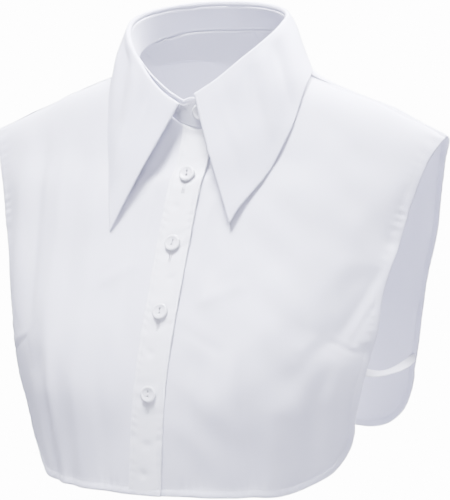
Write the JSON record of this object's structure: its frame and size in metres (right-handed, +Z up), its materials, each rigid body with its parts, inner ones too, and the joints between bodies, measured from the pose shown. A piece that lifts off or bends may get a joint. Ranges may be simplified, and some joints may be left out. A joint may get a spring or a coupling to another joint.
{
  "type": "detachable shirt collar",
  "caption": "Sleeveless half shirt worn under a sweater: long pointed collar on a stand, button band, front and back panels joined at the shoulders, slack side straps.",
  "frame": {"origin": "middle of the neck opening, level with where the shoulder slopes meet the neck; the wearer's neck and shoulders hold the garment there", "axes": "+X to the wearer's left, -Y out of the front, +Z up the neck"},
  "size_m": [0.3646, 0.2045, 0.3473],
  "materials": {
    "cloth": "white plain-woven shirting, matt",
    "strap": "white narrow elastic, faint sheen",
    "button": "glossy white"
  },
  "bodies": {
    "root": {"front_left": "cloth", "front_right": "cloth", "back": "cloth", "placket": "cloth", "collar_stand": "cloth", "collar_leaf": "cloth", "strap_left": "strap", "strap_right": "strap", "button_1": "button", "button_2": "button", "button_3": "button", "button_4": "button", "button_5": "button"}
  },
  "joints": []
}
